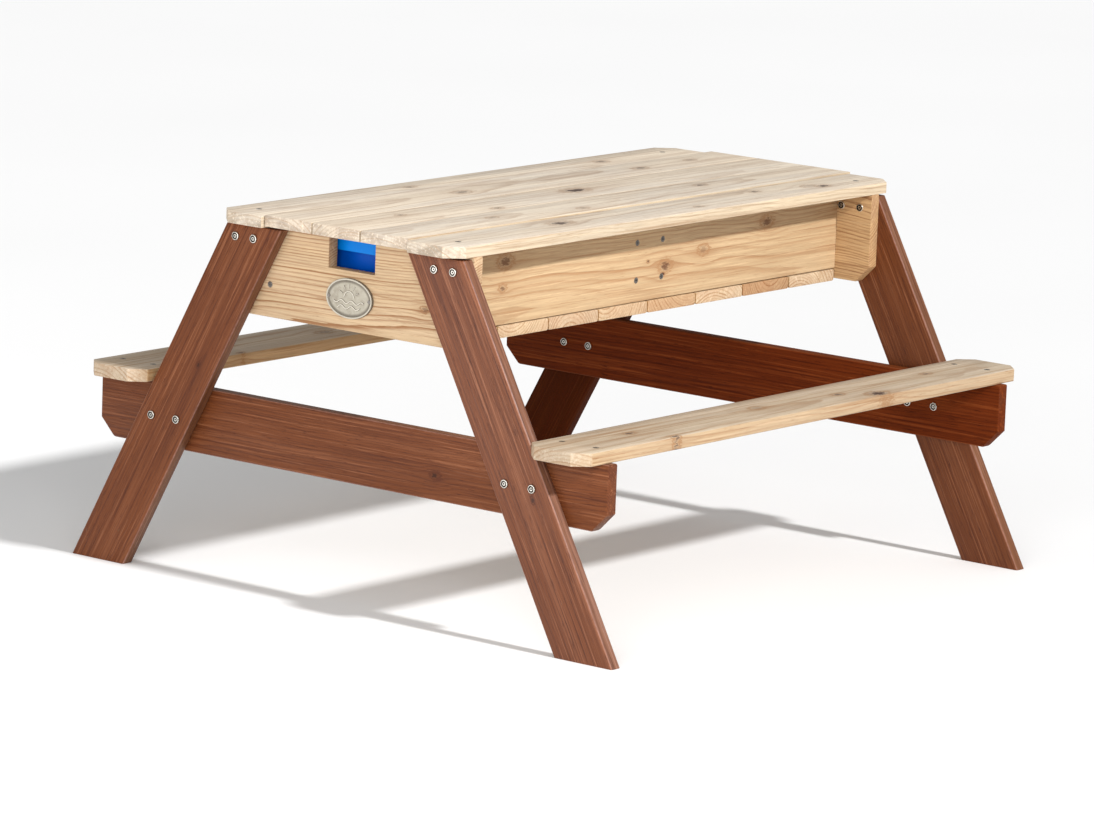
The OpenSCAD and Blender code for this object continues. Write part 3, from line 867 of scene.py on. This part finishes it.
# %% Both seats
SEAT_CLIP = 20
SEAT_SCREW = (423, 27, 269)
SEAT_KNOTS = {
    -1: [
        (-50, 5, 8, 0.3), (161, -36, 12, 1.0), (112, -6, 7, 0.7), (-287, -46, 5, 0.9),
        (-316, 4, 6, 0.8), (330, 8, 6, 0.6),
    ],
    1: [(-60, -10, 9, 0.5), (-270, -44, 4, 0.8), (220, 18, 6, 0.6)],
}
for side, node, pith in ((-1, "seat_front", (-16, -64)), (1, "seat_back", (24, -74))):
    low, high = (Vector(c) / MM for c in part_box(node))
    clips = [
        ((end * high.x, edge - way * SEAT_CLIP, 0), (end, way, 0))
        for end in SIDES
        for way, edge in ((-1, low.y), (1, high.y))
    ]
    middle = (low.y + high.y) / 2
    reach, row, level = SEAT_SCREW
    holes = [([(end * reach, middle + way * row, level) for end in SIDES for way in SIDES], Z)]
    # The front seat's narrow sides get painted light, the back seat's painted shade.
    finish = SUNNY_SEAT if side < 0 else PLANK
    piece, material = board(node, X, Z, finish, 2, pith, 40 + side, SEAT_KNOTS[side], clips, holes)
    fit(piece, material, "table_frame", "pale_wood", node)

# %% [markdown]
# ## Stained legs and rails
# The legs lean inwards and are cut level at both ends. The quickest true way is
# to start with the upright block of the foot and slide its top over: the sides
# lean, and both ends stay level. The stain is a thin brown-red glaze that shows
# pale streaks. Along the rounded edges it is paler, partly rubbed off and partly
# a painted highlight. The rails and the three other legs take darker copies of
# the stain, which are painted shade.

# %% Rails
RAIL_CLIP = 24
# Both rails take darker copies of the stain: painted shade, deeper on the far rail.
for side, node, seed, stain in ((-1, "rail_left", 51, HALF_SHADE_STAIN), (1, "rail_right", 57, SHADE_STAIN)):
    low, high = (Vector(c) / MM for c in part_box(node))
    clips = [((0, way * high.y, low.z + RAIL_CLIP), (0, way, -1)) for way in SIDES]
    knots = [(-150, -12, 5, 0.8)]
    piece, material = board(node, Y, X, stain, 3, (-60, side * 70), seed, knots, clips)
    fit(piece, material, "table_frame", "stained_wood", node)

# %% Legs
BOLT_SPOTS = [(152, 463.5), (183, 463.5), (278.3, 208), (322.3, 208)]
LEG_FACE = 450
LEG_WIDTH = 82 * MM
LEG_TOP_EDGE = 0.1995
# Painted shade: the legs further into the shade get darker copies of the stain.
LEG_STAINS_AND_SHADE = {
    "leg_left_front": STAINED, "leg_left_back": HALF_SHADE_STAIN,
    "leg_right_front": HALF_SHADE_STAIN, "leg_right_back": FULL_SHADE_STAIN,
}
for side, end in ((-1, "left"), (1, "right")):
    for way, place_name in ((-1, "front"), (1, "back")):
        node = "leg_%s_%s" % (end, place_name)
        low, high = (Vector(c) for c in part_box(node))
        foot_edge = high.y if way > 0 else low.y
        run = way * LEG_TOP_EDGE - foot_edge
        lean = math.atan2(abs(run), high.z - low.z)
        level_width = LEG_WIDTH / math.cos(lean)
        inner_edge = foot_edge - way * level_width
        start = Vector((low.x, min(foot_edge, inner_edge), low.z))
        stop = Vector((high.x, max(foot_edge, inner_edge), high.z))
        piece = block("wood_" + node, start, stop)
        pick(piece, "FACE", lambda face: face.normal.z > 0.9)
        bpy.ops.transform.translate(value=(0, run, 0))
        grain = Vector((0, run, high.z - low.z)).normalized()
        ease_edges(piece, grain, 3 * MM)
        break_edges(piece)
        seats = [(side * LEG_FACE, way * y, z) for y, z in BOLT_SPOTS]
        cut_with(piece, counterbores(seats, (side, 0, 0)))
        lay = Lay(low, high, grain, X)
        lay.half = [LEG_WIDTH / 2 / MM, (high.x - low.x) / 2 / MM]
        seed = 100 + 5 * side + way
        knots = [(60 * way, 14, 3, 0.7)]
        material = wood("grain_" + node, LEG_STAINS_AND_SHADE[node], lay, (way * 70, side * 60), seed, knots)
        fit(piece, material, "table_frame", "stained_wood", node)

# %% [markdown]
# ## Trays
# A tray like this can be drawn from one sheet of warm plastic: the sheet runs up
# the skirt, over the rim, down the wall and across the floor. So it is modelled
# as one skin, by extruding and narrowing a rounded plate, and only then given
# its thickness. The walls draw in a little, or it would never leave its mould.
# Outside, below the skirt, the blue is made deeper: that is painted shade, for
# the shade that the skirt throws on the wall.

# %% Glossy blue plastic
SKIRT_SHADE_EDGE = (461, 456)
blue_plastic, wire = new_material("blue_plastic")
at = place(wire)
haze = at.noise((60, 60, 60), 3)
scuff = at.noise((18, 1.2, 18), 4, 3.0, 0.65)
orange_peel = at.noise((1.6, 1.6, 1.6), 5)
near_x, near_y, height = at.parts()
face_x, face_y = wire.node("ShaderNodeTexCoord", output="Normal").parts()[:2]
from_middle = near_x.take("ABSOLUTE") - TRAY_MIDDLE
# The next value is above 0 where a face looks away from its own tray's middle.
outward = face_x * near_x.take("SIGN") * from_middle + face_y * near_y
# Painted shade: the outer wall below the skirt, as if in the skirt's shadow.
painted_shade_below_skirt = height.step(*SKIRT_SHADE_EDGE) * outward.step(1.0, 6.0)
colour = wire.colour((0.0, 0.175, 0.63)).blend((0.0, 0.21, 0.72), haze.step(0.35, 0.7))
# Painted shade: deeper blue outside, below the skirt.
colour = colour.blend((0.0, 0.055, 0.42), painted_shade_below_skirt * 0.85)
colour = colour.blend((0.02, 0.28, 0.85), scuff.step(0.66, 0.8) * 0.3)
finish_material(
    wire,
    {
        "Base Color": colour,
        "Roughness": 0.26 + 0.12 * haze + 0.2 * scuff.step(0.6, 0.8),
        "Specular IOR Level": 0.12,
        "Normal": orange_peel.bump(0.25, 0.0003),
    },
)
print("plastic ready")

# %% One skin, folded into a tray
TRAY_CORNER = 24 * MM
RIM = 14.5 * MM
SKIRT = 25 * MM
WALL = 2.5 * MM
RIM_ROUND = 2.2 * MM
DRAW_IN = (0.985, 0.97, 1)
TURN = 5 * MM
FLOOR_STEPS = ((1.9, 0.4), (1.6, 1.1), (1.1, 1.6), (0.4, 1.9), (0, 20), (-1.0, 1.0), (-1.0, 1.0))


def tray(name, low, high):
    """A rounded plate, extruded up for the skirt and down for the tub."""
    clear_selection()
    middle = (low + high) / 2
    bpy.ops.mesh.primitive_plane_add(size=1, location=(middle.x, middle.y, high.z - SKIRT))
    piece = bpy.context.object
    piece.name = name
    bpy.ops.transform.resize(value=(high.x - low.x, high.y - low.y, 1))
    bpy.ops.object.transform_apply(location=True, rotation=True, scale=True)
    pick(piece, "VERT", lambda vert: True)
    bpy.ops.mesh.bevel(offset=TRAY_CORNER, segments=9, affect="VERTICES")
    pick(piece, "FACE", lambda face: True)
    bpy.ops.mesh.extrude_region_move(TRANSFORM_OT_translate={"value": (0, 0, SKIRT)})
    pick(piece, "FACE", lambda face: face.normal.z > 0.9 and face.calc_center_median().z > high.z - MM)
    bpy.ops.mesh.inset(thickness=RIM)
    bpy.ops.mesh.extrude_region_move(
        TRANSFORM_OT_translate={"value": (0, 0, low.z + WALL + TURN - high.z)}
    )
    bpy.ops.transform.resize(value=DRAW_IN, center_override=middle)
    half = (high - low) / 2 - Vector((RIM, RIM, 0))
    for drop, draw in FLOOR_STEPS:
        bpy.ops.mesh.extrude_region_move(TRANSFORM_OT_translate={"value": (0, 0, -drop * MM)})
        shrink = (1 - draw * MM / half.x, 1 - draw * MM / half.y, 1)
        bpy.ops.transform.resize(value=shrink, center_override=middle)
    pick(piece, "FACE", lambda face: abs(face.calc_center_median().z - high.z + SKIRT) < MM / 10)
    bpy.ops.mesh.delete(type="FACE")
    pick(piece, "EDGE", lambda e: is_sharp(e) and min(v.co.z for v in e.verts) > high.z - MM)
    bpy.ops.mesh.bevel(offset=RIM_ROUND, segments=3, affect="EDGES")
    bpy.ops.object.mode_set(mode="OBJECT")
    skin = piece.modifiers.new("wall", "SOLIDIFY")
    skin.thickness = WALL
    skin.offset = -1
    bpy.ops.object.modifier_apply(modifier="wall")
    return piece


for end in ("left", "right"):
    node = "tray_" + end
    piece = tray("tub_" + end, *(Vector(c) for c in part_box(node)))
    fit(piece, blue_plastic, node, "blue_plastic", node)

# %% [markdown]
# ## Bolts and sleeve nuts
# The legs are held by bolts with low round heads, and the heads have a turned
# ring, a shallow dish and a hexagon socket. One head is turned and then copied
# to all its places. The same head on a thicker shank serves for the sleeve nuts
# inside.

# %% Bright plated steel
def plated_steel(name, base, dark, rough):
    """Zinc-plated steel with turning marks and dull spots."""
    material, wire = new_material(name)
    at = place(wire)
    cloud = at.noise((3.5, 3.5, 3.5), 6, 3.0, 0.6)
    turned = at.noise((0.5, 0.5, 0.5), 7)
    finish_material(
        wire,
        {
            "Base Color": wire.colour(base).blend(dark, cloud.step(0.45, 0.75)),
            "Roughness": rough + 0.2 * cloud,
            "Metallic": 1.0,
            "Normal": turned.bump(0.25, 0.0001),
        },
    )
    return material


bolt_steel = plated_steel("bolt_steel", (0.74, 0.71, 0.65), (0.42, 0.39, 0.34), 0.24)
# The wood screws' steel is made dark: painted shade for their countersunk holes.
screw_steel = plated_steel("screw_steel", (0.24, 0.22, 0.20), (0.07, 0.06, 0.05), 0.4)
# A near-black steel for the groove and the socket: painted shade for these hollows.
groove_shade = plated_steel("groove_shade", (0.07, 0.06, 0.05), (0.03, 0.027, 0.024), 0.5)
print("steel ready")

# %% Turn one head and copy it
HEAD_R = 5.5 * MM
HEAD_T = 2.0 * MM
HEAD_ROUND = 0.6 * MM
HEAD_STEPS = ((0.5, 0), (0.3, -0.9), (1.5, 0), (0.3, 0.6))
SOCKET = {"vertices": 6, "radius": 1.4 * MM, "depth": 3 * MM, "location": (0, 0, 2.3 * MM)}
GROOVE = (2.3 * MM, 4.35 * MM)
SOCKET_REACH = 1.3 * MM
SHADE_LEVELS = (0.5 * MM, 1.6 * MM)


def turned_head(shank_radius, shank_length):
    """A round head with its face towards +Z, standing on z = 0, and a shank below."""
    clear_selection()
    bpy.ops.mesh.primitive_cylinder_add(
        vertices=36, radius=HEAD_R, depth=HEAD_T, location=(0, 0, HEAD_T / 2)
    )
    piece = bpy.context.object
    bpy.ops.object.transform_apply(location=True, rotation=True, scale=True)
    pick(piece, "EDGE", lambda e: is_sharp(e) and e.verts[0].co.z > HEAD_T / 2)
    bpy.ops.mesh.bevel(offset=HEAD_ROUND, segments=4, affect="EDGES")
    pick(piece, "FACE", lambda f: f.normal.z > 0.99)
    for inward, rise in HEAD_STEPS:
        bpy.ops.mesh.inset(thickness=inward * MM, depth=rise * MM)
    pick(piece, "FACE", lambda f: f.normal.z < -0.99)
    bpy.ops.mesh.inset(thickness=HEAD_R - shank_radius)
    bpy.ops.mesh.extrude_region_move(TRANSFORM_OT_translate={"value": (0, 0, -shank_length)})
    bpy.ops.object.mode_set(mode="OBJECT")
    clear_selection()
    bpy.ops.mesh.primitive_cylinder_add(**SOCKET)
    cut_with(piece, bpy.context.object)
    piece.data.materials.append(bolt_steel)
    piece.data.materials.append(groove_shade)
    # Faces in the groove and the socket take the dark steel: painted shade.
    for face in piece.data.polygons:
        reach = face.center.xy.length
        in_groove = GROOVE[0] < reach < GROOVE[1] and face.center.z > SHADE_LEVELS[0]
        in_socket = reach < SOCKET_REACH and SHADE_LEVELS[0] < face.center.z < SHADE_LEVELS[1]
        face.material_index = int(in_groove or in_socket)
    return piece


def set_of_heads(name, model, side, faces, spots):
    """Copies of a head on both sides of one end, faces giving x for each spot."""
    copies = []
    for way in SIDES:
        for (y, z), face in zip(spots, faces):
            copy = model.copy()
            copy.data = model.data.copy()
            bpy.context.collection.objects.link(copy)
            clear_selection()
            copy.select_set(True)
            bpy.context.view_layer.objects.active = copy
            copy.rotation_euler = (0, math.radians(90 * side), 0)
            copy.location = Vector((face, way * y, z)) * MM
            bpy.ops.object.transform_apply(location=True, rotation=True, scale=True)
            copies.append(copy)
    return join(name, copies)


print("heads can be turned and copied")

# %% Place the bolts and the nuts
BOLT_SHANK = (2.9 * MM, 28 * MM)
NUT_SHANK = (4.0 * MM, 22 * MM)
NUT_FACES = (415, 415, 414, 414)
bolt = turned_head(*BOLT_SHANK)
nut = turned_head(*NUT_SHANK)
for side, end in ((-1, "left"), (1, "right")):
    bolts = set_of_heads("bolt_set_" + end, bolt, side, [side * LEG_FACE] * 4, BOLT_SPOTS)
    fit(bolts, None, "table_frame", "bolt_steel", "bolts_" + end)
    inner = [side * face for face in NUT_FACES]
    nuts = set_of_heads("nut_set_" + end, nut, -side, inner, BOLT_SPOTS)
    fit(nuts, None, "table_frame", "bolt_steel", "sleeve_nuts_" + end)
for model in (bolt, nut):
    bpy.data.objects.remove(model, do_unlink=True)

# %% Wood screws keep their CAD shape
SCREW_NODES = (
    "seat_screws", "top_board_screws", "apron_screws", "divider_screws", "floor_screws",
    "lid_screws", "badge_screws",
)
for node in SCREW_NODES:
    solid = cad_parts[node]
    solid.data.materials.clear()
    solid.data.materials.append(screw_steel)
print(len(SCREW_NODES), "sets of screws carried over")

# %% [markdown]
# ## Badge
# The badge is a small oval casting: a raised rim, a grainy field and a raised
# motif, a sun over two waves, which says sand and water. Its hollows are dark
# and its high places bright, because hands and cloths only reach the high ones.

# %% Cast metal
cast_metal, wire = new_material("cast_metal")
BADGE_MIDDLE = Vector((-0.434, 0, 0.404))
at = place(wire, BADGE_MIDDLE)
grit = at.noise((0.9, 0.9, 0.9), 8, 3.0, 0.65)
stain = at.noise((9, 9, 9), 9, 3.0, 0.6)
height = -at.parts()[0]
colour = wire.colour((0.40, 0.365, 0.295)).blend((0.26, 0.22, 0.17), stain.step(0.45, 0.75) * 0.6)
colour = colour.blend((0.60, 0.56, 0.48), grit.step(0.5, 0.8) * 0.6)
colour = colour.blend((0.10, 0.085, 0.06), height.step(1.3, 1.42) * 0.9)
colour = colour.blend((0.12, 0.10, 0.075), height.step(1.12, 1.02) * 0.8)
colour = colour.blend((0.50, 0.46, 0.385), height.step(1.7, 1.9))
colour = colour.blend((0.78, 0.73, 0.63), height.step(2.02, 2.1))
finish_material(
    wire,
    {
        "Base Color": colour,
        "Metallic": 0.55,
        "Roughness": 0.36 + 0.3 * stain,
        "Normal": grit.bump(0.5, 0.0004),
    },
)
print("cast metal ready")

# %% Raised lines
BEAD_IN = 1.0 * MM


def bead(points, radius):
    """A raised line through points (y, z) in mm on the badge's face."""
    line = bpy.data.curves.new("bead", "CURVE")
    line.dimensions = "3D"
    line.bevel_depth = radius * MM
    line.bevel_resolution = 3
    line.use_fill_caps = True
    spline = line.splines.new("NURBS")
    spline.points.add(len(points) - 1)
    for knot, (y, z) in zip(spline.points, points):
        knot.co = (BADGE_MIDDLE.x - BEAD_IN, -y * MM, BADGE_MIDDLE.z + z * MM, 1)
    spline.use_endpoint_u = True
    spline.order_u = 3
    spline.resolution_u = 4
    made = bpy.data.objects.new("bead", line)
    bpy.context.collection.objects.link(made)
    clear_selection()
    made.select_set(True)
    bpy.context.view_layer.objects.active = made
    bpy.ops.object.convert(target="MESH")
    return bpy.context.object


print("beads ready")

# %% Plate and rim
BADGE_HALF = (38.5 * MM, 26 * MM)
BADGE_THICK = 4 * MM
RIM_WIDTH = 2.2 * MM
RIM_SLOPE = 0.8 * MM
FIELD_DEPTH = 1.0 * MM
FIELD_EDGE = 9 * MM
FIELD_SWELL = 0.25 * MM
BADGE_ROUND = 0.6 * MM

clear_selection()
bpy.ops.mesh.primitive_circle_add(
    vertices=72, radius=1, fill_type="NGON", rotation=(0, math.radians(-90), 0)
)
plate = bpy.context.object
plate.location = (BADGE_MIDDLE.x + BADGE_THICK / 2, 0, BADGE_MIDDLE.z)
plate.scale = (BADGE_HALF[1], BADGE_HALF[0], 1)
bpy.ops.object.transform_apply(location=True, rotation=True, scale=True)
pick(plate, "FACE", lambda f: True)
bpy.ops.mesh.extrude_region_move(TRANSFORM_OT_translate={"value": (-BADGE_THICK, 0, 0)})
front = BADGE_MIDDLE.x - BADGE_THICK / 2 + MM / 10
pick(plate, "FACE", lambda f: len(f.verts) > 10 and f.calc_center_median().x < front)
bpy.ops.mesh.inset(thickness=RIM_WIDTH)
bpy.ops.mesh.inset(thickness=RIM_SLOPE)
bpy.ops.transform.translate(value=(FIELD_DEPTH, 0, 0))
bpy.ops.mesh.inset(thickness=FIELD_EDGE)
bpy.ops.transform.translate(value=(-FIELD_SWELL, 0, 0))
pick(plate, "EDGE", lambda e: is_sharp(e) and min(v.co.x for v in e.verts) < front)
bpy.ops.mesh.bevel(offset=BADGE_ROUND, segments=3, affect="EDGES")
pick(plate, "FACE", lambda f: True)
bpy.ops.mesh.normals_make_consistent(inside=False)
bpy.ops.object.mode_set(mode="OBJECT")
print("badge plate ready")

# %% Sun and waves
SUN_LOW = 1.5
SUN_RADIUS = 8
RAY = (11.5, 14, 17.5)
RAY_START = 24
RAY_STEP = 33
WAVES = ((-4.5, 25), (-11.5, 19))
WAVE_HEIGHT = 2.2
WAVE_PACE = 0.37
THICK_BEAD = 1.15
THIN_BEAD = 1.0


def round_the_sun(reach, angle):
    """A point (y, z) at a distance and an angle from the sun's middle."""
    return (reach * math.cos(angle), SUN_LOW + reach * math.sin(angle))


turns = [math.pi * step / 12 for step in range(13)]
beads = [bead([round_the_sun(SUN_RADIUS, turn) for turn in turns], THICK_BEAD)]
for step in range(5):
    angle = math.radians(RAY_START + RAY_STEP * step)
    beads.append(bead([round_the_sun(reach, angle) for reach in RAY], THIN_BEAD))
for drop, reach in WAVES:
    ends = range(-reach, reach + 1, 2)
    wave = [(y, drop + WAVE_HEIGHT * math.sin(y * WAVE_PACE)) for y in ends]
    beads.append(bead(wave, THICK_BEAD))
badge = join("badge", [plate] + beads)
fit(badge, cast_metal, "table_frame", "badge_metal", "badge_plate")

# %% [markdown]
# ## Bounds of the bench
# Two corners bound the dressed bench.

# %% Bounds of the dressed bench
low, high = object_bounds()
